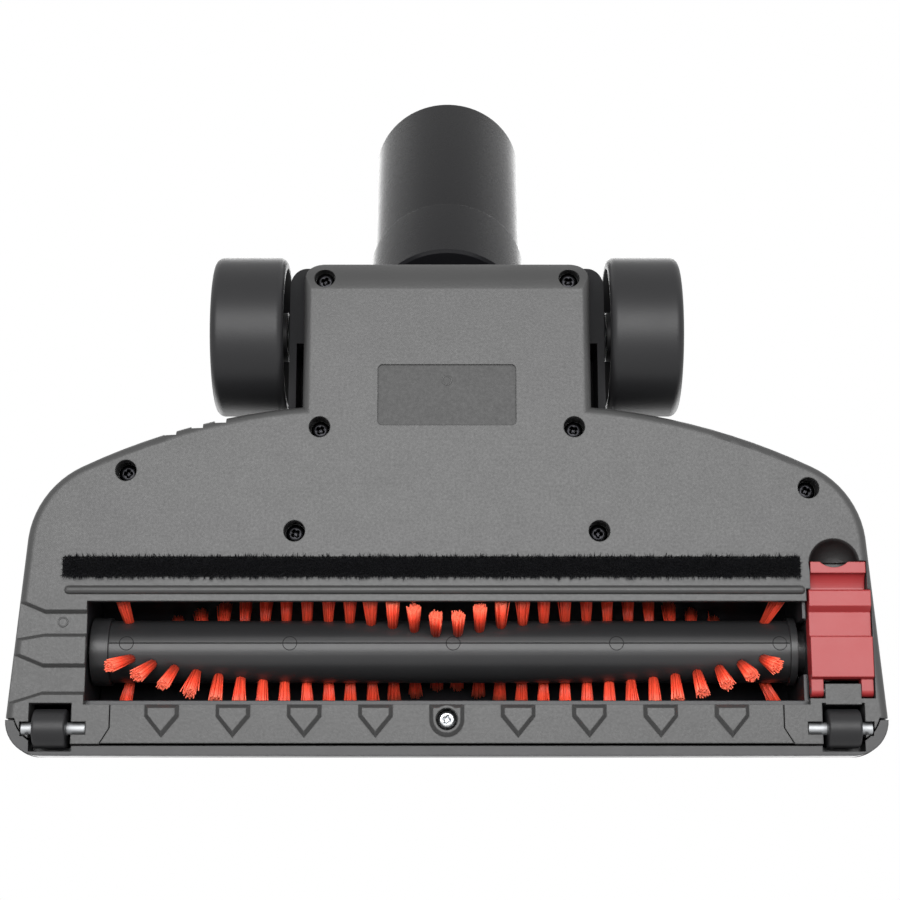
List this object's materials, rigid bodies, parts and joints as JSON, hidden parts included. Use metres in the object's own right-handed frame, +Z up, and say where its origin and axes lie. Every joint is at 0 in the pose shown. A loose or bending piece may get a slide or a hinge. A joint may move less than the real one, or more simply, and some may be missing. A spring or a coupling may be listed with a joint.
{
  "type": "vacuum floor brush head",
  "caption": "Motorised floor head for a stick vacuum: belt-driven brush roll in a wide sole, end latch, wheels, rollers, and a tilting, swivelling neck with a wand socket.",
  "frame": {"origin": "on the floor, under the middle of the whole head", "axes": "+Z up, -Y towards the bumper, +Y towards the neck, +X towards the belt side"},
  "size_m": [0.2502, 0.2312, 0.1294],
  "materials": {
    "sole_grey": "fine moulded texture",
    "cover_black": "satin",
    "inner_black": "moulded",
    "latch_red": "satin",
    "bristle_red": "nylon filament",
    "core_black": "satin",
    "pile_grey": "short pile",
    "wheel_black": "satin",
    "belt_rubber": "matte",
    "steel": "turned",
    "black_steel": "black oxide",
    "zinc": "bright plated",
    "motor_steel": "plated"
  },
  "bodies": {
    "base": {"sole_plate": "sole_grey", "front_lip": "sole_grey", "housing_screws": "black_steel", "lip_screw": "zinc", "mohair_strip": "pile_grey", "top_cover": "cover_black", "brush_chamber": "inner_black", "air_duct": "inner_black", "drive_plate": "inner_black", "roll_bearing": "steel", "shaft_bush": "steel", "motor_can": "motor_steel", "motor_end_cap": "inner_black", "motor_cradle": "inner_black", "drive_belt": "belt_rubber", "end_bush": "inner_black", "latch_pin": "steel", "wheel_axle_left": "steel", "wheel_axle_right": "steel", "roller_pin_left": "steel", "roller_pin_right": "steel"},
    "motor_rotor": {"motor_shaft": "steel", "motor_pulley": "inner_black"},
    "brush_roll": {"roll_core": "core_black", "roll_tufts": "bristle_red", "roll_hub": "inner_black", "roll_pulley": "inner_black", "roll_axle": "steel"},
    "end_latch": {"latch": "latch_red"},
    "left_wheel": {"wheel_left": "wheel_black"},
    "right_wheel": {"wheel_right": "wheel_black"},
    "left_roller": {"front_roller_left": "wheel_black"},
    "right_roller": {"front_roller_right": "wheel_black"},
    "neck_pivot": {"neck_barrel": "cover_black", "swivel_clip": "steel"},
    "neck": {"neck_tube": "cover_black", "wand_socket": "steel"}
  },
  "joints": [
    {"name": "neck_tilt", "type": "hinge", "parent": "base", "child": "neck_pivot", "pos_m": [0, 0.01141, 0.024], "axis": [1, 0, 0], "range_deg": [-15, 42]},
    {"name": "neck_swivel", "type": "hinge", "parent": "neck_pivot", "child": "neck", "pos_m": [0, 0.01141, 0.024], "axis": [0, 0.7009, 0.7133], "range_deg": [-90, 90]},
    {"name": "brush_spin", "type": "hinge", "parent": "base", "child": "brush_roll", "pos_m": [0, -0.08469, 0.0192], "axis": [1, 0, 0], "continuous": true},
    {"name": "motor_spin", "type": "hinge", "parent": "base", "child": "motor_rotor", "pos_m": [0, -0.04999, 0.0192], "axis": [1, 0, 0], "continuous": true},
    {"name": "latch_open", "type": "hinge", "parent": "base", "child": "end_latch", "pos_m": [-0.11155, -0.09739, 0.0056], "axis": [-1, 0, 0], "range_deg": [0, 70]},
    {"name": "wheel_left_spin", "type": "hinge", "parent": "base", "child": "left_wheel", "pos_m": [0.06, 0.01141, 0.024], "axis": [1, 0, 0], "continuous": true},
    {"name": "wheel_right_spin", "type": "hinge", "parent": "base", "child": "right_wheel", "pos_m": [-0.06, 0.01141, 0.024], "axis": [1, 0, 0], "continuous": true},
    {"name": "roller_left_spin", "type": "hinge", "parent": "base", "child": "left_roller", "pos_m": [0.1114, -0.10799, 0.0055], "axis": [1, 0, 0], "continuous": true},
    {"name": "roller_right_spin", "type": "hinge", "parent": "base", "child": "right_roller", "pos_m": [-0.1114, -0.10799, 0.0055], "axis": [1, 0, 0], "continuous": true}
  ],
  "couplings": [
    {"joint": "motor_spin", "follows": "brush_spin", "ratio": 1.8}
  ]
}
